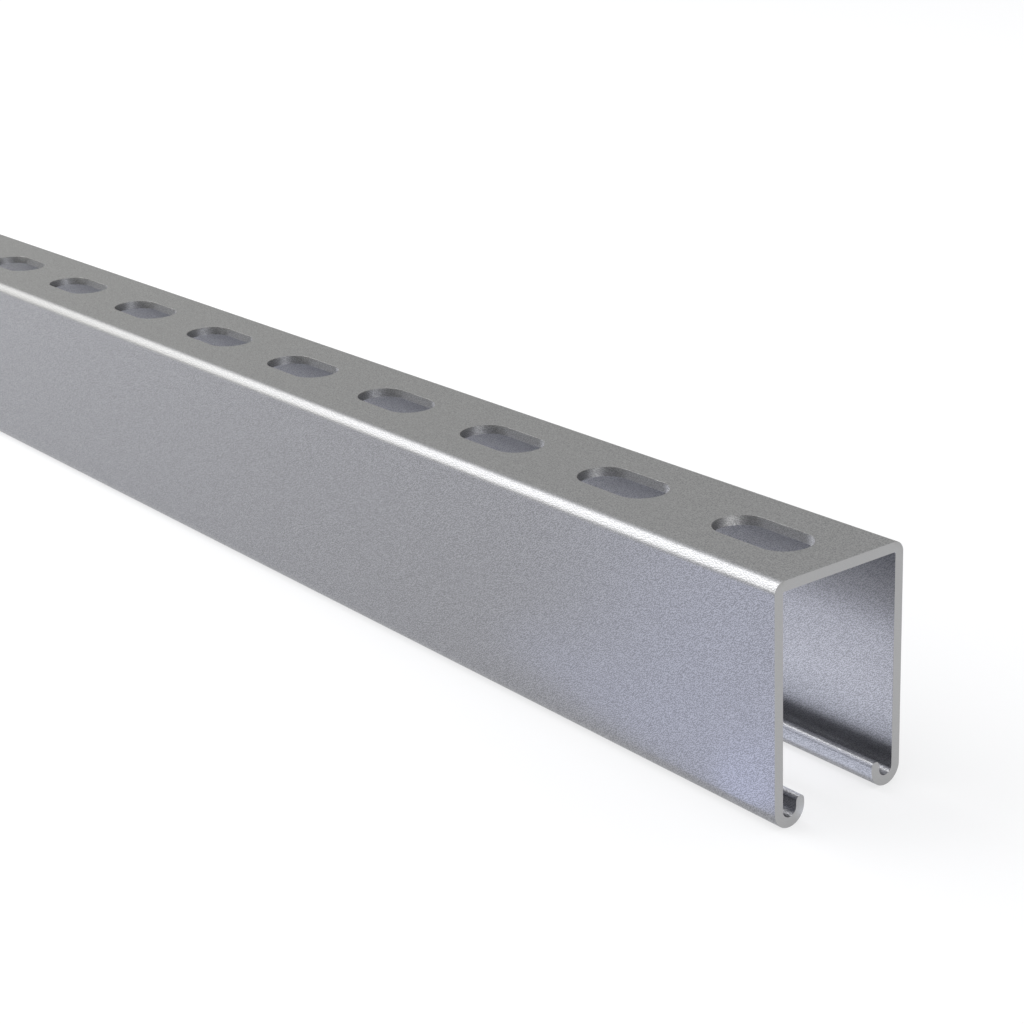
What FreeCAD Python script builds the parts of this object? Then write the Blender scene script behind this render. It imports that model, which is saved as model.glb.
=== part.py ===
import FreeCAD, Part
import math
import os
import Sketcher

# Slotted strut channel: one length of cold-rolled steel strip, in the deep section.
# The strip is bent into a web with two square sides, and each free edge curls inwards and up
# into a lip with a round edge. A row of round-ended slots is punched through the web.
# The stock stands on its two lips with the web on top.
# The frame is in millimetres: +X along the stock, +Y across it and +Z up. The origin is under
# the middle of the stock, on the plane that the lips rest on.

SIZES = {
    "stock_length": (609.6, "length of the cut piece"),
    "overall_width": (41.3, "across the two sides"),
    "overall_depth": (61.9, "from the underside of the lips to the top of the web"),
    "sheet_thickness": (2.66, "thickness of the strip"),
    "bend_inside_radius": (0.4, "inside radius of the two bends beside the web"),
    "lip_width": (9.5, "outside width of a curled lip"),
    "lip_straight": (1.02, "straight part of a lip between its curl and its round edge"),
    "slot_length": (28.6, "slot from end to end"),
    "slot_width": (14.3, "slot across"),
    "slot_pitch": (50.8, "from one slot centre to the next"),
    "slot_end_distance": (25.4, "least distance from a slot centre to an end of the stock"),
}

# As many slots as the stock has room for. The small share of a pitch keeps the last slot
# where the room is a whole number of pitches.
ROUNDING_SHARE = 0.001
SLOT_COUNT = (
    "(floor((sizes.stock_length - 2 * sizes.slot_end_distance) / sizes.slot_pitch + {}) + 1)"
).format(ROUNDING_SHARE)

# The largest share by which a volume may differ from the one worked out from the sizes.
VOLUME_TOLERANCE = 1e-6

# Vertices of an edge, and the fixed references of every sketch.
START = 1
END = 2
CENTRE = 3
ORIGIN = (-1, 1)
ACROSS_AXIS = -1
UPWARD_AXIS = -2


def size(name):
    """Give a driving dimension in millimetres."""
    return SIZES[name][0]


def write_sizes(document):
    """Put the driving dimensions in a sheet, one row each: name, number and meaning."""
    sheet = document.addObject("Spreadsheet::Sheet", "sizes")
    for row, (name, (value, meaning)) in enumerate(SIZES.items(), start=1):
        sheet.set("A{}".format(row), name)
        sheet.set("B{}".format(row), str(value))
        sheet.set("C{}".format(row), meaning)
        sheet.setAlias("B{}".format(row), name)
    document.recompute()
    return sheet


def line(start, end):
    """Give a straight edge between two points of a sketch."""
    return Part.LineSegment(FreeCAD.Vector(*start, 0), FreeCAD.Vector(*end, 0))


def arc(centre, radius, first_degrees, last_degrees):
    """Give a round edge of a sketch, drawn anticlockwise."""
    circle = Part.Circle(FreeCAD.Vector(*centre, 0), FreeCAD.Vector(0, 0, 1), radius)
    return Part.ArcOfCircle(circle, math.radians(first_degrees), math.radians(last_degrees))


def origin_plane(body, role):
    """Find one of the body's own origin planes."""
    return next(item for item in body.Origin.OriginFeatures if item.Role == role)


def new_sketch(body, name, role):
    """Add a sketch to the body, on one of its origin planes."""
    sketch = body.newObject("Sketcher::SketchObject", name)
    sketch.AttachmentSupport = [(origin_plane(body, role), "")]
    sketch.MapMode = "FlatFace"
    return sketch


def draw_chain(sketch, edges):
    """Add edges that run smoothly one into the next, and give their numbers by name.

    Each edge is its name, its shape, the vertex where the chain enters it and the one where
    the chain leaves it.
    """
    numbers = {}
    for name, shape, enter, leave in edges:
        numbers[name] = sketch.addGeometry(shape, False)
    for before, after in zip(edges, edges[1:]):
        joint = ("Tangent", numbers[before[0]], before[3], numbers[after[0]], after[2])
        sketch.addConstraint(Sketcher.Constraint(*joint))
    return numbers


def fix(sketch, *constraint):
    """Add a geometric constraint to a sketch."""
    sketch.addConstraint(Sketcher.Constraint(*constraint))


def bind(sketch, name, formula, *constraint):
    """Add a dimension to a sketch and tie it to the sheet."""
    number = sketch.addConstraint(Sketcher.Constraint(*constraint))
    sketch.renameConstraint(number, name)
    sketch.setExpression("Constraints." + name, formula)


def draw_half_section(body):
    """Draw the half of the section at +Y, from the middle of the web round the lip and back."""
    thickness = size("sheet_thickness")
    inside_radius = size("bend_inside_radius")
    outside_radius = inside_radius + thickness
    curl_radius = size("lip_width") / 2

    top = size("overall_depth")
    underside = top - thickness
    bend_height = top - outside_radius
    tip_height = curl_radius + size("lip_straight")

    outer_face = size("overall_width") / 2
    inner_face = outer_face - thickness
    bend_centre = (outer_face - outside_radius, bend_height)
    curl_centre = (outer_face - curl_radius, curl_radius)
    throat = outer_face - 2 * curl_radius
    groove = throat + thickness
    tip_centre = (throat + thickness / 2, tip_height)

    sketch = new_sketch(body, "half_section", "YZ_Plane")
    edges = [
        ("web_top", line((0, top), (bend_centre[0], top)), START, END),
        ("bend", arc(bend_centre, outside_radius, 0, 90), END, START),
        ("side", line((outer_face, bend_height), (outer_face, curl_radius)), START, END),
        ("curl", arc(curl_centre, curl_radius, 180, 360), END, START),
        ("throat", line((throat, curl_radius), (throat, tip_height)), START, END),
        ("tip", arc(tip_centre, thickness / 2, 0, 180), END, START),
        ("groove", line((groove, tip_height), (groove, curl_radius)), START, END),
        ("inner_curl", arc(curl_centre, curl_radius - thickness, 180, 360), START, END),
        ("wall", line((inner_face, curl_radius), (inner_face, bend_height)), START, END),
        ("inner_bend", arc(bend_centre, inside_radius, 0, 90), START, END),
        ("web_underside", line((bend_centre[0], underside), (0, underside)), START, END),
    ]
    edge = draw_chain(sketch, edges)
    middle = sketch.addGeometry(line((0, underside), (0, top)), False)
    fix(sketch, "Coincident", edge["web_underside"], END, middle, START)
    fix(sketch, "Coincident", middle, END, edge["web_top"], START)
    fix(sketch, "PointOnObject", middle, START, UPWARD_AXIS)
    fix(sketch, "PointOnObject", middle, END, UPWARD_AXIS)
    for name in ("web_top", "web_underside"):
        fix(sketch, "Horizontal", edge[name])
    for name in ("side", "throat", "groove", "wall"):
        fix(sketch, "Vertical", edge[name])
    fix(sketch, "Horizontal", edge["curl"], CENTRE, edge["inner_curl"], CENTRE)

    bind(sketch, "bend_outside_radius", "sizes.bend_inside_radius + sizes.sheet_thickness",
         "Radius", edge["bend"], outside_radius)
    bind(sketch, "bend_inside_radius", "sizes.bend_inside_radius",
         "Radius", edge["inner_bend"], inside_radius)
    bind(sketch, "curl_outside_radius", "sizes.lip_width / 2",
         "Radius", edge["curl"], curl_radius)
    bind(sketch, "curl_inside_radius", "sizes.lip_width / 2 - sizes.sheet_thickness",
         "Radius", edge["inner_curl"], curl_radius - thickness)
    bind(sketch, "tip_radius", "sizes.sheet_thickness / 2",
         "Radius", edge["tip"], thickness / 2)
    bind(sketch, "half_width", "sizes.overall_width / 2",
         "DistanceX", *ORIGIN, edge["side"], START, outer_face)
    bind(sketch, "depth", "sizes.overall_depth",
         "DistanceY", *ORIGIN, middle, END, top)
    bind(sketch, "web_thickness", "sizes.sheet_thickness",
         "DistanceY", middle, START, middle, END, thickness)
    bind(sketch, "curl_height", "sizes.lip_width / 2",
         "DistanceY", *ORIGIN, edge["curl"], CENTRE, curl_radius)
    bind(sketch, "lip_straight", "sizes.lip_straight",
         "DistanceY", edge["curl"], CENTRE, edge["tip"], CENTRE, size("lip_straight"))
    return sketch


def roll_stock(body, half_section):
    """Run the half section along the stock, half of it each way, and mirror it across."""
    half = body.newObject("PartDesign::Pad", "half_stock")
    half.Profile = half_section
    half.SideType = "Symmetric"
    half.setExpression("Length", "sizes.stock_length")

    whole = body.newObject("PartDesign::Mirrored", "whole_stock")
    whole.Originals = [half]
    whole.MirrorPlane = (origin_plane(body, "XZ_Plane"), [""])
    body.Tip = whole
    return whole


def draw_first_slot(body):
    """Draw the slot nearest the -X end, on the top of the web.

    The row of slots is centred on the stock.
    """
    radius = size("slot_width") / 2
    straight = size("slot_length") - size("slot_width")
    left = -size("stock_length") / 2 + size("slot_end_distance") - straight / 2
    right = left + straight

    sketch = new_sketch(body, "first_slot", "XY_Plane")
    sketch.setExpression("AttachmentOffset.Base.z", "sizes.overall_depth")
    edges = [
        ("near_edge", line((left, -radius), (right, -radius)), START, END),
        ("right_end", arc((right, 0), radius, -90, 90), START, END),
        ("far_edge", line((right, radius), (left, radius)), START, END),
        ("left_end", arc((left, 0), radius, 90, 270), START, END),
    ]
    edge = draw_chain(sketch, edges)
    fix(sketch, "Tangent", edge["left_end"], END, edge["near_edge"], START)
    fix(sketch, "Equal", edge["left_end"], edge["right_end"])
    fix(sketch, "Horizontal", edge["near_edge"])
    fix(sketch, "PointOnObject", edge["left_end"], CENTRE, ACROSS_AXIS)

    bind(sketch, "end_radius", "sizes.slot_width / 2",
         "Radius", edge["left_end"], radius)
    bind(sketch, "straight", "sizes.slot_length - sizes.slot_width",
         "DistanceX", edge["left_end"], CENTRE, edge["right_end"], CENTRE, straight)
    half_row = "({} - 1) * sizes.slot_pitch / 2".format(SLOT_COUNT)
    bind(sketch, "place", half_row + " + (sizes.slot_length - sizes.slot_width) / 2",
         "DistanceX", edge["left_end"], CENTRE, *ORIGIN, -left)
    return sketch


def punch_slots(body, first_slot):
    """Punch the first slot down through the web, and repeat it along the stock."""
    punch = body.newObject("PartDesign::Pocket", "slot_punch")
    punch.Profile = first_slot
    punch.Type = "Length"
    punch.Reversed = False
    punch.setExpression("Length", "sizes.sheet_thickness")

    row = body.newObject("PartDesign::LinearPattern", "slot_row")
    row.Originals = [punch]
    row.Direction = (first_slot, ["H_Axis"])
    row.Mode = "Spacing"
    row.setExpression("Offset", "sizes.slot_pitch")
    row.setExpression("Occurrences", SLOT_COUNT)
    body.Tip = row
    return row


def build_channel(document):
    """Make the strut channel, one solid."""
    channel = document.addObject("PartDesign::Body", "strut_channel")
    channel.Label = "strut_channel"
    stock = roll_stock(channel, draw_half_section(channel))
    row = punch_slots(channel, draw_first_slot(channel))
    channel.Placement = FreeCAD.Placement(FreeCAD.Vector(0, 0, 0), FreeCAD.Rotation())
    document.recompute()
    return channel, stock, row


def check_objects(document):
    """Stop if any step of the model failed or any sketch is free to move."""
    for item in document.Objects:
        faults = [state for state in item.State if state in ("Invalid", "Error")]
        if faults:
            raise RuntimeError("{} is {}".format(item.Name, faults))
        if item.isDerivedFrom("Sketcher::SketchObject") and not item.FullyConstrained:
            raise RuntimeError("{} isn't fully constrained".format(item.Name))


def check_slots(stock, row):
    """Stop unless the slots take away what their sizes say."""
    width = size("slot_width")
    outline = math.pi * width ** 2 / 4 + (size("slot_length") - width) * width
    expected = row.Occurrences * outline * size("sheet_thickness")
    removed = stock.Shape.Volume - row.Shape.Volume
    if abs(removed - expected) > VOLUME_TOLERANCE * expected:
        raise RuntimeError("the slots took {} mm3, not {} mm3".format(removed, expected))


def write_part(part):
    """Write one sub-part to its own file, after a last look at its solid."""
    shape = part.Shape
    if shape.isNull() or not shape.isValid() or len(shape.Solids) != 1:
        raise RuntimeError("{} isn't one sound solid".format(part.Label))
    os.makedirs("parts", exist_ok=True)
    shape.exportStep("parts/{}.step".format(part.Label))
    box = shape.BoundBox
    print("{}: {:.2f} x {:.2f} x {:.2f} mm, {:.1f} mm3".format(
        part.Label, box.XLength, box.YLength, box.ZLength, shape.Volume))


def main():
    document = FreeCAD.newDocument("strut_channel")
    write_sizes(document)
    channel, stock, row = build_channel(document)
    check_objects(document)
    check_slots(stock, row)
    write_part(channel)


main()
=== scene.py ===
import math

import bmesh
import bpy
from bpy.props import FloatProperty, FloatVectorProperty, IntProperty, PointerProperty
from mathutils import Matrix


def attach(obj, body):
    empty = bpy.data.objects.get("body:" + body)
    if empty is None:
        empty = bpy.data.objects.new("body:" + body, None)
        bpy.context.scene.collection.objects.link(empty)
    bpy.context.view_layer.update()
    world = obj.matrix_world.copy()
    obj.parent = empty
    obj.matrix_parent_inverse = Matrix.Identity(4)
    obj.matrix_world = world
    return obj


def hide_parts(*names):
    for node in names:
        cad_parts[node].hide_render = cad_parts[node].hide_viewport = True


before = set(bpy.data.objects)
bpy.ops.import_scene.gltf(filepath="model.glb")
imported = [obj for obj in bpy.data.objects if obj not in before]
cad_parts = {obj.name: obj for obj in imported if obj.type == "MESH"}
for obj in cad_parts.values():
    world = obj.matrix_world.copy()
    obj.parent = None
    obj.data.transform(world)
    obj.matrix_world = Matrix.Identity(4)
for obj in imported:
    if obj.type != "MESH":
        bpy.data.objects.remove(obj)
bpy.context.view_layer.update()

bl_info = {
    "name": "Strut channel",
    "version": (1, 0, 0),
    "blender": (4, 5, 0),
    "location": "3D View > Sidebar > Strut",
    "description": "Makes a length of slotted strut channel, its finish and a plain studio",
    "category": "Add Mesh",
}

# Points of the mesh nearer than this, in metres, are one point.
SAME_PLACE = 2e-6


# ---------------------------------------------------------------- sizes and colours


class ChannelSizes(bpy.types.PropertyGroup):
    """Sizes of the channel."""

    width: FloatProperty(
        name="Width", description="Across the two sides",
        default=0.0413, unit="LENGTH", precision=4)
    depth: FloatProperty(
        name="Depth", description="From the underside of the lips to the top of the web",
        default=0.0619, unit="LENGTH", precision=4)
    sheet: FloatProperty(
        name="Sheet", description="Thickness of the strip",
        default=0.00266, unit="LENGTH", precision=5)
    bend: FloatProperty(
        name="Bend", description="Inside radius of the bends beside the web",
        default=0.0004, unit="LENGTH", precision=5)
    lip_width: FloatProperty(
        name="Lip width", description="Outside width of a curled lip",
        default=0.0095, unit="LENGTH", precision=5)
    lip_straight: FloatProperty(
        name="Lip straight", description="Straight part of a lip above its curl",
        default=0.00102, unit="LENGTH", precision=5)
    slot_length: FloatProperty(
        name="Slot length", description="Slot from end to end",
        default=0.0286, unit="LENGTH", precision=4)
    slot_width: FloatProperty(
        name="Slot width", description="Slot across",
        default=0.0143, unit="LENGTH", precision=4)
    slot_pitch: FloatProperty(
        name="Slot pitch", description="From one slot centre to the next",
        default=0.0508, unit="LENGTH", precision=4)
    slots: IntProperty(
        name="Slots", description="Number of slots along the channel", default=12, min=1)
    easing: FloatProperty(
        name="Easing", description="Width taken off the sharp cut edges",
        default=0.0001, unit="LENGTH", precision=5)


class ChannelFinish(bpy.types.PropertyGroup):
    """Colours and texture of the metal."""

    # Each finish mixes its light and dark colours by the grain, whose light and dark sides are a
    # painted shading of its relief; the zinc mixes them by its mottling and streaks too.
    zinc_light: FloatVectorProperty(
        name="Zinc, light", description="Light colour in the zinc coat",
        subtype="COLOR", default=(0.340, 0.343, 0.367))
    zinc_dark: FloatVectorProperty(
        name="Zinc, dark", description="Dark colour in the zinc coat",
        subtype="COLOR", default=(0.216, 0.218, 0.234))
    punched_light: FloatVectorProperty(
        name="Punched steel, light", description="Light colour of the walls of the slots",
        subtype="COLOR", default=(0.55, 0.55, 0.555))
    punched_dark: FloatVectorProperty(
        name="Punched steel, dark", description="Dark colour of the walls of the slots",
        subtype="COLOR", default=(0.345, 0.345, 0.35))
    cut_light: FloatVectorProperty(
        name="Cut steel, light", description="Light colour of the cut steel",
        subtype="COLOR", default=(0.445, 0.445, 0.45))
    cut_dark: FloatVectorProperty(
        name="Cut steel, dark", description="Dark colour of the cut steel",
        subtype="COLOR", default=(0.41, 0.41, 0.415))
    grain: FloatProperty(
        name="Grain", description="Size of the fine grain of the zinc",
        default=0.00032, unit="LENGTH", precision=5)


class StudioLights(bpy.types.PropertyGroup):
    """Colours and strengths of the floor, the room and the lamps."""

    floor: FloatVectorProperty(
        name="Floor", description="Colour of the floor",
        subtype="COLOR", default=(0.76, 0.77, 0.825))
    floor_glow: FloatProperty(
        name="Floor glow", description="Share of plain white in what the camera sees of the floor",
        default=0.70, min=0.0, max=1.0, subtype="FACTOR")
    room_low: FloatVectorProperty(
        name="Room, low", description="Light of the room's wall",
        subtype="COLOR", default=(0.54, 0.535, 0.485))
    room_high: FloatVectorProperty(
        name="Room, high", description="Light of the room's ceiling",
        subtype="COLOR", default=(1.05, 1.05, 1.02))
    far_panel: FloatVectorProperty(
        name="Far panel", description="Light of the soft panel over the far half",
        subtype="COLOR", default=(2.00, 1.97, 1.77))
    near_panel: FloatVectorProperty(
        name="Near panel", description="Light of the soft panel over the near half",
        subtype="COLOR", default=(3.17, 3.15, 3.01))
    hollow_light: FloatVectorProperty(
        name="Hollow, low", description="Light inside the channel, in its lower half",
        subtype="COLOR", default=(1.14, 1.155, 1.23))
    hollow_top: FloatVectorProperty(
        name="Hollow, high", description="Light inside the channel, near the web",
        subtype="COLOR", default=(0.12, 0.115, 0.09))
    lip_light: FloatVectorProperty(
        name="Lip", description="Light from under the web on to the far lip",
        subtype="COLOR", default=(3.8, 3.77, 3.6))
    throat_light: FloatVectorProperty(
        name="Throat", description="Light that comes up between the lips",
        subtype="COLOR", default=(0.69, 0.74, 0.88))
    pool_light: FloatVectorProperty(
        name="Pool", description="Cool light on the floor beside the near end",
        subtype="COLOR", default=(0.25, 0.285, 0.46))


# ---------------------------------------------------------------- shaping by hand


def start_piece(name, add, **settings):
    """Add a primitive with nothing else selected, put its place in its mesh, and edit it."""
    bpy.ops.object.select_all(action="DESELECT")
    add(**settings)
    bpy.ops.object.transform_apply()
    piece = bpy.context.object
    piece.name = name
    piece.data.name = name
    bpy.ops.object.mode_set(mode="EDIT")
    return piece


def mesh_in_hand():
    """Give the mesh that is being edited."""
    return bmesh.from_edit_mesh(bpy.context.object.data)


def take(kind, test):
    """Select the vertices, edges or faces that pass a test."""
    bpy.ops.mesh.select_mode(type=kind)
    bpy.ops.mesh.select_all(action="DESELECT")
    mesh = mesh_in_hand()
    items = {"VERT": mesh.verts, "EDGE": mesh.edges, "FACE": mesh.faces}[kind]
    taken = [item for item in items if test(item)]
    if not taken:
        raise RuntimeError("nothing there to take")
    for item in taken:
        item.select_set(True)
    bmesh.update_edit_mesh(bpy.context.object.data)


def near(value, target):
    """Say whether two distances are the same."""
    return abs(value - target) < SAME_PLACE


def at(item, axis, target):
    """Say whether every vertex of an edge or a face is at a distance along an axis."""
    return all(near(getattr(vertex.co, axis), target) for vertex in item.verts)


def join_points():
    """Make one point of all that lie in the same place."""
    bpy.ops.mesh.select_all(action="SELECT")
    bpy.ops.mesh.remove_doubles(threshold=SAME_PLACE)


def turn_outwards():
    """Make every face point outwards."""
    bpy.ops.mesh.select_all(action="SELECT")
    bpy.ops.mesh.normals_make_consistent(inside=False)


def draw_out(x=0.0, z=0.0):
    """Extrude what is selected by a distance."""
    bpy.ops.mesh.extrude_region_move(TRANSFORM_OT_translate={"value": (x, 0.0, z)})


def roll(steps, degrees, y, z):
    """Spin the selected edges about a line along the stock, clockwise seen from +X."""
    angle = math.radians(degrees)
    bpy.ops.mesh.spin(steps=steps, angle=angle, center=(0.0, y, z), axis=(1.0, 0.0, 0.0))


def finish_with(piece, kind, **settings):
    """Add a modifier to a piece and apply it."""
    bpy.ops.object.select_all(action="DESELECT")
    piece.select_set(True)
    bpy.context.view_layer.objects.active = piece
    modifier = piece.modifiers.new(kind.title(), kind)
    for name, value in settings.items():
        setattr(modifier, name, value)
    bpy.ops.object.modifier_apply(modifier=modifier.name)


# ---------------------------------------------------------------- the rolled channel

# Steps round a slot's end, a bend, a curl and a lip's round edge.
SLOT_STEPS = 32
BEND_STEPS = 16
CURL_STEPS = 32
EDGE_STEPS = 12

# Steps along and across the piece of web round one slot. Its outline and the slot's have the
# same number of steps in all.
WEB_ALONG = 7
WEB_ACROSS = 26

# Steps across an eased edge, the angle from which an edge is eased, and the angle up to which
# the shading runs smoothly over an edge.
EASING_STEPS = 2
SHARP_EDGE = math.radians(60)
SMOOTH_EDGE = math.radians(30)

# Places of the three materials on the channel.
ZINC = 0
CUT = 1
PUNCHED = 2


def outline_slot(sizes, height):
    """Make the outline of one slot: half a circle, two straights and the other half."""
    radius = sizes.slot_width / 2
    end = (sizes.slot_length - sizes.slot_width) / 2
    web = start_piece(
        "strut_channel_rolled", bpy.ops.mesh.primitive_circle_add,
        vertices=2 * SLOT_STEPS, radius=radius, location=(0.0, 0.0, height))
    take("VERT", lambda vertex: vertex.co.x < -SAME_PLACE)
    bpy.ops.mesh.delete(type="VERT")
    bpy.ops.mesh.select_all(action="SELECT")
    bpy.ops.transform.translate(value=(end, 0.0, 0.0))
    take("VERT", lambda vertex: near(vertex.co.x, end))
    draw_out(x=-2 * end)
    take("VERT", lambda vertex: near(vertex.co.x, -end) and vertex.co.y > 0)
    bpy.ops.mesh.spin(
        steps=SLOT_STEPS, angle=-math.pi, center=(-end, 0.0, height), axis=(0.0, 0.0, 1.0))
    join_points()
    return web


def lay_web(sizes, height, half_flat):
    """Put a rectangle of web round the slot, and repeat it along the stock."""
    web = outline_slot(sizes, height)
    bpy.ops.mesh.select_all(action="DESELECT")
    bpy.ops.mesh.primitive_grid_add(
        x_subdivisions=WEB_ALONG, y_subdivisions=WEB_ACROSS, size=1.0,
        location=(0.0, 0.0, height))
    bpy.ops.transform.resize(
        value=(sizes.slot_pitch, 2 * half_flat, 1.0), center_override=(0.0, 0.0, height))
    take("VERT", lambda vertex: vertex.link_faces and not vertex.is_boundary)
    bpy.ops.mesh.delete(type="VERT")
    bpy.ops.mesh.select_mode(type="EDGE")
    bpy.ops.mesh.select_all(action="SELECT")
    bpy.ops.mesh.bridge_edge_loops()
    bpy.ops.transform.translate(value=(-sizes.slot_pitch * (sizes.slots - 1) / 2, 0.0, 0.0))
    bpy.ops.object.mode_set(mode="OBJECT")
    finish_with(
        web, "ARRAY", count=sizes.slots, use_relative_offset=False, use_constant_offset=True,
        constant_offset_displace=(sizes.slot_pitch, 0.0, 0.0), use_merge_vertices=True,
        merge_threshold=SAME_PLACE)
    return web


def roll_side(sizes, side, half_flat):
    """Bend the edge of the web down into a side, and curl its end inwards and up."""
    bend_height = sizes.depth - sizes.sheet - sizes.bend
    curl = sizes.lip_width / 2
    take("EDGE", lambda edge: at(edge, "y", side * half_flat))
    roll(BEND_STEPS, side * 90, side * half_flat, bend_height)
    draw_out(z=curl - bend_height)
    roll(CURL_STEPS, side * 180, side * (sizes.width / 2 - curl), curl)
    draw_out(z=sizes.lip_straight)


def round_lip_edge(sizes, side):
    """Close the edge of a lip with a half round, as far as the ends of the stock."""
    tip = sizes.lip_width / 2 + sizes.lip_straight
    throat = sizes.width / 2 - sizes.lip_width
    take("EDGE", lambda edge: at(edge, "z", tip) and at(edge, "y", side * throat))
    roll(EDGE_STEPS, side * 180, side * (throat + sizes.sheet / 2), tip)


def close_lip_ends():
    """Fill the four half discs where the round edges reach the ends of the stock."""
    for right in (False, True):
        for far in (False, True):
            take("EDGE", lambda edge: edge.is_boundary and all(
                (v.co.x > 0) == right and (v.co.y > 0) == far for v in edge.verts))
            bpy.ops.mesh.edge_face_add()
            bpy.context.object.active_material_index = CUT
            bpy.ops.object.material_slot_assign()


def finish_slot_walls(sizes):
    """Give the walls of the slots their own finish. Until then they are cut steel."""
    stock_end = sizes.slot_pitch * sizes.slots / 2
    take("FACE", lambda face: face.material_index == CUT and not any(
        at(face, "x", side * stock_end) for side in (1, -1)))
    bpy.context.object.active_material_index = PUNCHED
    bpy.ops.object.material_slot_assign()


def make_channel(sizes, zinc, cut, punched):
    """Make the whole channel as one closed mesh."""
    height = sizes.depth - sizes.sheet / 2
    half_flat = sizes.width / 2 - sizes.sheet - sizes.bend
    channel = lay_web(sizes, height, half_flat)
    channel.data.materials.append(zinc)
    channel.data.materials.append(cut)
    channel.data.materials.append(punched)

    bpy.ops.object.mode_set(mode="EDIT")
    for side in (1, -1):
        roll_side(sizes, side, half_flat)
    join_points()
    turn_outwards()
    bpy.ops.object.mode_set(mode="OBJECT")
    finish_with(
        channel, "SOLIDIFY", thickness=sizes.sheet, offset=0.0, use_even_offset=True,
        use_quality_normals=True, material_offset_rim=CUT)

    bpy.ops.object.mode_set(mode="EDIT")
    tip = sizes.lip_width / 2 + sizes.lip_straight
    take("FACE", lambda face: at(face, "z", tip))
    bpy.ops.mesh.delete(type="FACE")
    for side in (1, -1):
        round_lip_edge(sizes, side)
    join_points()
    close_lip_ends()
    turn_outwards()
    finish_slot_walls(sizes)
    bpy.ops.object.mode_set(mode="OBJECT")

    finish_with(
        channel, "BEVEL", width=sizes.easing, segments=EASING_STEPS, limit_method="ANGLE",
        angle_limit=SHARP_EDGE, use_clamp_overlap=False)
    bpy.ops.object.shade_smooth_by_angle(angle=SMOOTH_EDGE)
    finish_with(channel, "WEIGHTED_NORMAL", mode="FACE_AREA", weight=100, keep_sharp=True)
    return channel


# ---------------------------------------------------------------- materials

# Places of a mix node's sockets for two colours, and of the one for their mixture.
FIRST_COLOUR = 6
SECOND_COLOUR = 7
MIXED_COLOUR = 2

# Turn of the grain's pattern, in radians, so that no flat side of the metal lies along it.
GRAIN_SLANT = (0.5, 0.7, 0.3)

# Step, in metres, over which the grain's height is compared: it is lighter where it rises and
# darker where it falls, a painted shading of the grain's relief as if lit from one side.
GRAIN_STEP = (0.000055, 0.00004, 0.00017)

# Size of the mottling and width of the rolling streaks, in metres, how many times longer than
# wide a streak is, and how strongly each of the two shows in the zinc.
MOTTLE_SIZE = 0.006
STREAK_WIDTH = 0.0011
STREAK_STRETCH = 120.0
VEIL = 0.04

# How many times stronger the grain is in a finish's colour than in the pattern itself.
ZINC_CONTRAST = 3.9
CUT_CONTRAST = 2.0

# Roughness of each finish, where its colour is dark and where it is light.
ZINC_ROUGHNESS = (0.42, 0.34)
PUNCHED_ROUGHNESS = (0.46, 0.38)
CUT_ROUGHNESS = (0.45, 0.45)

# Height of the grain, in metres, and the size of the cut steel's grain beside the zinc's.
ZINC_RELIEF = 0.00002
CUT_RELIEF = 0.000003
CUT_GRAIN = 0.6


def new_material(name):
    """Add an empty material with its shader, and give the tree and the shader."""
    material = bpy.data.materials.new(name)
    material.use_nodes = True
    tree = material.node_tree
    tree.nodes.clear()
    output = tree.nodes.new("ShaderNodeOutputMaterial")
    shader = tree.nodes.new("ShaderNodeBsdfPrincipled")
    tree.links.new(shader.outputs["BSDF"], output.inputs["Surface"])
    return material, tree, shader


def add_node(tree, kind, **settings):
    """Add a node with its settings."""
    node = tree.nodes.new(kind)
    for name, value in settings.items():
        setattr(node, name, value)
    return node


def feed(tree, socket, source):
    """Give a socket a number or colour, or the output of another node."""
    if isinstance(source, bpy.types.NodeSocket):
        tree.links.new(source, socket)
    else:
        socket.default_value = source


def blend_colours(tree, share, first, second):
    """Mix two colours by a share."""
    node = add_node(tree, "ShaderNodeMix", data_type="RGBA")
    feed(tree, node.inputs["Factor"], share)
    feed(tree, node.inputs[FIRST_COLOUR], first)
    feed(tree, node.inputs[SECOND_COLOUR], second)
    return node.outputs[MIXED_COLOUR]


def combine(tree, operation, first, second=0.0, third=0.0):
    """Work out one number from others."""
    node = add_node(tree, "ShaderNodeMath", operation=operation)
    for socket, source in zip(node.inputs, (first, second, third)):
        feed(tree, socket, source)
    return node.outputs[0]


def spread(tree, value, low, high):
    """Make a share from 0 to 1 run from one number to another."""
    node = add_node(tree, "ShaderNodeMapRange", clamp=True)
    feed(tree, node.inputs["Value"], value)
    feed(tree, node.inputs["To Min"], low)
    feed(tree, node.inputs["To Max"], high)
    return node.outputs["Result"]


def noise(tree, place, size, detail):
    """Add a noise of a size in metres, from 0 to 1, a half on average."""
    node = add_node(tree, "ShaderNodeTexNoise", noise_dimensions="3D")
    feed(tree, node.inputs["Vector"], place)
    if isinstance(size, bpy.types.NodeSocket):
        feed(tree, node.inputs["Scale"], combine(tree, "DIVIDE", 1.0, size))
    else:
        feed(tree, node.inputs["Scale"], 1.0 / size)
    feed(tree, node.inputs["Detail"], detail)
    return node.outputs["Fac"]


def stretched(tree, place, times):
    """Make a pattern that many times longer along the stock."""
    node = add_node(tree, "ShaderNodeMapping", vector_type="POINT")
    feed(tree, node.inputs["Vector"], place)
    feed(tree, node.inputs["Scale"], (1.0 / times, 1.0, 1.0))
    return node.outputs["Vector"]


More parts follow.
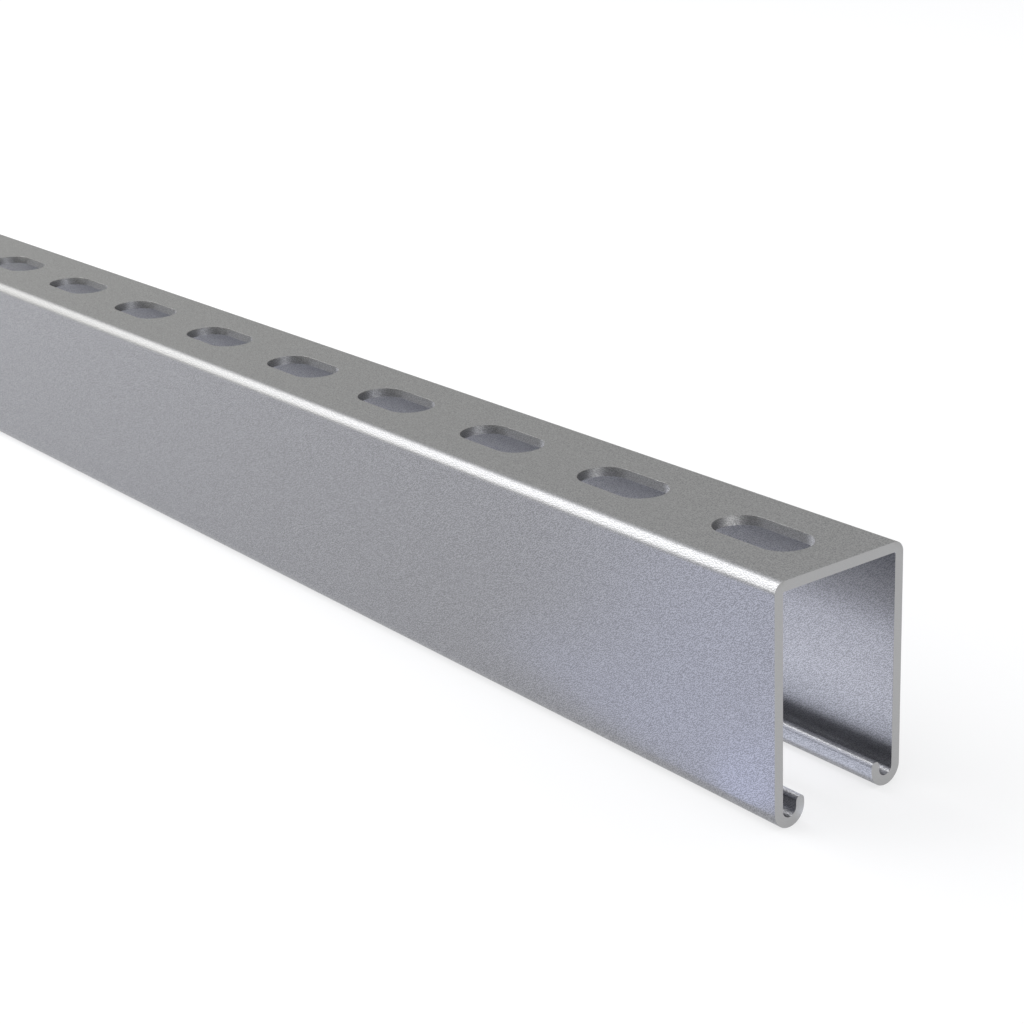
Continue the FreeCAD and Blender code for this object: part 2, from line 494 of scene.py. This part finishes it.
def metal_grain_group(grain):
    """Make the pattern that the finishes share: fine grain with a painted shading of its relief,
    mottling and rolling streaks.
    """
    tree = bpy.data.node_groups.new("metal_grain", "ShaderNodeTree")
    size = tree.interface.new_socket("Size", in_out="INPUT", socket_type="NodeSocketFloat")
    size.default_value = grain
    for name in ("Height", "Grain", "Mottle", "Streaks"):
        tree.interface.new_socket(name, in_out="OUTPUT", socket_type="NodeSocketFloat")
    inside = tree.nodes.new("NodeGroupInput").outputs["Size"]
    out = tree.nodes.new("NodeGroupOutput")
    place = tree.nodes.new("ShaderNodeTexCoord").outputs["Object"]

    slanted = add_node(tree, "ShaderNodeMapping", vector_type="POINT")
    feed(tree, slanted.inputs["Vector"], place)
    feed(tree, slanted.inputs["Rotation"], GRAIN_SLANT)
    height = noise(tree, slanted.outputs["Vector"], inside, detail=0.0)
    aside = add_node(tree, "ShaderNodeVectorMath", operation="ADD")
    feed(tree, aside.inputs[0], slanted.outputs["Vector"])
    feed(tree, aside.inputs[1], GRAIN_STEP)
    beside = noise(tree, aside.outputs["Vector"], inside, detail=0.0)
    # The height less the height a step aside is a painted shade of the grain's relief: lighter
    # where it rises, as if lit from one side.
    painted_relief_shade = combine(tree, "SUBTRACT", height, beside)
    feed(tree, out.inputs["Height"], height)
    # The Grain output is this painted shading of the grain's relief, about a half on average.
    feed(tree, out.inputs["Grain"], combine(tree, "ADD", painted_relief_shade, 0.5))
    feed(tree, out.inputs["Mottle"], noise(tree, place, MOTTLE_SIZE, detail=3.0))
    drawn = stretched(tree, place, STREAK_STRETCH)
    feed(tree, out.inputs["Streaks"], noise(tree, drawn, STREAK_WIDTH, detail=2.0))
    return tree


def add_grain(tree, group, size):
    """Put the shared pattern in a material."""
    node = tree.nodes.new("ShaderNodeGroup")
    node.node_tree = group
    node.inputs["Size"].default_value = size
    return node.outputs


def opaque(colour):
    """Give a colour its alpha."""
    return (*colour, 1.0)


def strengthen(tree, pattern, times, middle=0.5):
    """Make a pattern that lies about a half stronger, and give it a new average."""
    return combine(tree, "MULTIPLY_ADD", pattern, times, middle - times / 2)


def cover(tree, shader, share, dark, light, roughness):
    """Give a metal its colours and roughness by a share."""
    colour = blend_colours(tree, share, opaque(dark), opaque(light))
    feed(tree, shader.inputs["Base Color"], colour)
    feed(tree, shader.inputs["Metallic"], 1.0)
    rough_dark, rough_light = roughness
    if rough_dark == rough_light:
        feed(tree, shader.inputs["Roughness"], rough_dark)
    else:
        feed(tree, shader.inputs["Roughness"], spread(tree, share, rough_dark, rough_light))


def emboss(tree, shader, height, relief):
    """Raise a metal's surface by a pattern, as far as a relief in metres."""
    bump = add_node(tree, "ShaderNodeBump")
    feed(tree, bump.inputs["Strength"], 1.0)
    feed(tree, bump.inputs["Distance"], relief)
    feed(tree, bump.inputs["Height"], height)
    feed(tree, shader.inputs["Normal"], bump.outputs["Normal"])


def zinc_material(finish, group):
    """Make the satin zinc coat of the strip."""
    material, tree, shader = new_material("galvanised_steel")
    grain = add_grain(tree, group, finish.grain)
    # The grain in this colour is a painted shading of the grain's relief.
    share = strengthen(tree, grain["Grain"], ZINC_CONTRAST, 0.5 - VEIL)
    share = combine(tree, "MULTIPLY_ADD", grain["Mottle"], VEIL, share)
    share = combine(tree, "MULTIPLY_ADD", grain["Streaks"], VEIL, share)
    cover(tree, shader, share, finish.zinc_dark, finish.zinc_light, ZINC_ROUGHNESS)
    emboss(tree, shader, grain["Height"], ZINC_RELIEF)
    return material


def punched_material(finish, group):
    """Make the grainy steel of the walls of the slots."""
    material, tree, shader = new_material("punched_steel")
    grain = add_grain(tree, group, finish.grain)
    # The grain in this colour is a painted shading of the grain's relief.
    share = strengthen(tree, grain["Grain"], ZINC_CONTRAST)
    cover(tree, shader, share, finish.punched_dark, finish.punched_light, PUNCHED_ROUGHNESS)
    emboss(tree, shader, grain["Height"], ZINC_RELIEF)
    return material


def cut_material(finish, group):
    """Make the bare steel of the sawn ends."""
    material, tree, shader = new_material("cut_steel")
    grain = add_grain(tree, group, finish.grain * CUT_GRAIN)
    # The grain in this colour is a painted shading of the grain's relief.
    share = strengthen(tree, grain["Grain"], CUT_CONTRAST)
    cover(tree, shader, share, finish.cut_dark, finish.cut_light, CUT_ROUGHNESS)
    emboss(tree, shader, grain["Height"], CUT_RELIEF)
    return material


def floor_material(studio):
    """Make the pale floor. To the camera and in reflections part of it is plain white."""
    material = bpy.data.materials.new("pale_floor")
    material.use_nodes = True
    tree = material.node_tree
    tree.nodes.clear()
    output = tree.nodes.new("ShaderNodeOutputMaterial")
    paint = tree.nodes.new("ShaderNodeBsdfDiffuse")
    feed(tree, paint.inputs["Color"], opaque(studio.floor))
    white = tree.nodes.new("ShaderNodeEmission")
    feed(tree, white.inputs["Color"], (1.0, 1.0, 1.0, 1.0))
    seen = tree.nodes.new("ShaderNodeLightPath").outputs
    share = combine(tree, "MAXIMUM", seen["Is Camera Ray"], seen["Is Glossy Ray"])
    share = combine(tree, "MAXIMUM", share, seen["Is Transmission Ray"])
    share = combine(tree, "MULTIPLY", share, studio.floor_glow)
    mix = tree.nodes.new("ShaderNodeMixShader")
    feed(tree, mix.inputs[0], share)
    feed(tree, mix.inputs[1], paint.outputs["BSDF"])
    feed(tree, mix.inputs[2], white.outputs["Emission"])
    feed(tree, output.inputs["Surface"], mix.outputs["Shader"])
    return material


# ---------------------------------------------------------------- the studio

# Side of the floor, in metres.
FLOOR_SIZE = 40.0

# Heights on the room's wall, as sines of the angle up, between which its light rises.
ROOM_LOW = 0.3
ROOM_HIGH = 0.6

# The long lamps inside the channel: the middle of them along it, and their length, in metres.
INSIDE_MIDDLE = -0.002
INSIDE_LENGTH = 0.6

# Where the camera stands, in metres, and how it is turned, in degrees.
CAMERA_PLACE = (0.61974, -0.32507, 0.23764)
CAMERA_TURN = (70.2222, 2.4536, 52.5885)

# Focal length of the lens and width of the picture in the camera, in millimetres.
CAMERA_LENS = 74.58
CAMERA_SENSOR = 36.0


def set_floor(studio):
    """Lay the floor that the channel stands on."""
    floor = start_piece(
        "floor", bpy.ops.mesh.primitive_plane_add, size=FLOOR_SIZE, location=(0.0, 0.0, 0.0))
    bpy.ops.object.mode_set(mode="OBJECT")
    floor.data.materials.append(floor_material(studio))


def set_room(studio):
    """Fill the room with a soft light, brighter from above."""
    world = bpy.data.worlds.new("room")
    world.use_nodes = True
    tree = world.node_tree
    place = tree.nodes.new("ShaderNodeTexCoord").outputs["Generated"]
    parts = tree.nodes.new("ShaderNodeSeparateXYZ")
    feed(tree, parts.inputs["Vector"], place)
    height = add_node(tree, "ShaderNodeMapRange", clamp=True, interpolation_type="SMOOTHSTEP")
    feed(tree, height.inputs["Value"], parts.outputs["Z"])
    feed(tree, height.inputs["From Min"], ROOM_LOW)
    feed(tree, height.inputs["From Max"], ROOM_HIGH)
    colour = blend_colours(
        tree, height.outputs["Result"], opaque(studio.room_low), opaque(studio.room_high))
    feed(tree, tree.nodes["Background"].inputs["Color"], colour)
    bpy.context.scene.world = world


def hang_lamp(name, light, place, turn, size, shape="RECTANGLE"):
    """Hang a soft flat lamp. It shines downwards before it is turned, in degrees."""
    lamp = bpy.data.lights.new(name, "AREA")
    lamp.shape = shape
    lamp.size, lamp.size_y = size
    area = size[0] * size[1] * (math.pi / 4 if shape == "ELLIPSE" else 1.0)
    # With this power the lamp's face is exactly as bright as its colour.
    lamp.energy = math.pi * area
    lamp.color = light
    holder = bpy.data.objects.new(name, lamp)
    holder.location = place
    holder.rotation_euler = [math.radians(angle) for angle in turn]
    holder.visible_camera = False
    bpy.context.scene.collection.objects.link(holder)


def light_floor(light, place, turn, size):
    """Hang a soft oval lamp just above the floor. It shines up."""
    hang_lamp("pool_light", light, place=place, turn=(180.0, 0.0, turn), size=size,
              shape="ELLIPSE")


def light_inside(studio):
    """Hang the long lamps in the hollow, under the web and between the lips."""
    for side in (90.0, -90.0):
        hang_lamp("hollow_light", studio.hollow_light, place=(INSIDE_MIDDLE, 0.0, 0.0197),
                  turn=(side, 0.0, 0.0), size=(INSIDE_LENGTH, 0.0254))
        hang_lamp("hollow_top", studio.hollow_top, place=(INSIDE_MIDDLE, 0.0, 0.039),
                  turn=(side, 0.0, 0.0), size=(INSIDE_LENGTH, 0.012))
    hang_lamp("lip_light", studio.lip_light, place=(INSIDE_MIDDLE, -0.004, 0.052),
              turn=(0.0, 0.0, 0.0), size=(INSIDE_LENGTH, 0.011))
    hang_lamp("throat_light", studio.throat_light, place=(0.002, 0.0, 0.0007),
              turn=(180.0, 0.0, 0.0), size=(0.612, 0.021))


def set_camera():
    """Stand the camera where the photograph was taken from."""
    camera = bpy.data.cameras.new("camera")
    camera.lens = CAMERA_LENS
    camera.sensor_width = CAMERA_SENSOR
    holder = bpy.data.objects.new("camera", camera)
    holder.location = CAMERA_PLACE
    holder.rotation_euler = [math.radians(turn) for turn in CAMERA_TURN]
    bpy.context.scene.collection.objects.link(holder)
    bpy.context.scene.camera = holder


# ---------------------------------------------------------------- operators and panel


class STRUT_OT_channel(bpy.types.Operator):
    """Make the rolled channel with its slots, lips and finish"""

    bl_idname = "strut.channel"
    bl_label = "Make the channel"

    def execute(self, context):
        finish = context.scene.strut_finish
        group = metal_grain_group(finish.grain)
        zinc = zinc_material(finish, group)
        cut = cut_material(finish, group)
        punched = punched_material(finish, group)
        channel = make_channel(context.scene.strut_sizes, zinc, cut, punched)
        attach(channel, "root")
        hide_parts("strut_channel")
        return {"FINISHED"}


class STRUT_OT_stage(bpy.types.Operator):
    """Set up the floor, the room, the lamps and the camera"""

    bl_idname = "strut.stage"
    bl_label = "Set the stage"

    def execute(self, context):
        studio = context.scene.strut_studio
        set_floor(studio)
        set_room(studio)
        hang_lamp("far_panel", studio.far_panel, place=(-2.0, -0.53, 0.76),
                  turn=(35.0, 0.0, 0.0), size=(1.6, 1.7))
        hang_lamp("near_panel", studio.near_panel, place=(-0.63, -0.53, 0.76),
                  turn=(35.0, 0.0, 0.0), size=(1.14, 1.7))
        light_inside(studio)
        light_floor(studio.pool_light, place=(0.22, -0.15, 0.0006), turn=42.2, size=(0.26, 0.16))
        light_floor(studio.pool_light, place=(0.235, -0.04, 0.0009), turn=10.0, size=(0.14, 0.02))
        light_floor(studio.pool_light, place=(0.283, -0.04, 0.0012), turn=42.2,
                    size=(0.038, 0.026))
        set_camera()
        context.scene.view_settings.view_transform = "Standard"
        return {"FINISHED"}


class STRUT_PT_panel(bpy.types.Panel):
    """Sizes, colours and steps of the strut channel"""

    bl_idname = "STRUT_PT_panel"
    bl_label = "Strut channel"
    bl_space_type = "VIEW_3D"
    bl_region_type = "UI"
    bl_category = "Strut"

    def draw(self, context):
        for group in (context.scene.strut_sizes, context.scene.strut_finish,
                      context.scene.strut_studio):
            box = self.layout.box()
            for name in group.__annotations__:
                box.prop(group, name)
        self.layout.operator(STRUT_OT_channel.bl_idname)
        self.layout.operator(STRUT_OT_stage.bl_idname)


CLASSES = (
    ChannelSizes,
    ChannelFinish,
    StudioLights,
    STRUT_OT_channel,
    STRUT_OT_stage,
    STRUT_PT_panel,
)


def register():
    """Add the settings, operators and panel to Blender."""
    for kind in CLASSES:
        bpy.utils.register_class(kind)
    bpy.types.Scene.strut_sizes = PointerProperty(type=ChannelSizes)
    bpy.types.Scene.strut_finish = PointerProperty(type=ChannelFinish)
    bpy.types.Scene.strut_studio = PointerProperty(type=StudioLights)


def unregister():
    """Take the settings, operators and panel out of Blender."""
    del bpy.types.Scene.strut_studio
    del bpy.types.Scene.strut_finish
    del bpy.types.Scene.strut_sizes
    for kind in reversed(CLASSES):
        bpy.utils.unregister_class(kind)


def main():
    """Make everything."""
    register()
    bpy.ops.strut.channel()
    bpy.ops.strut.stage()


if __name__ == "__main__":
    main()
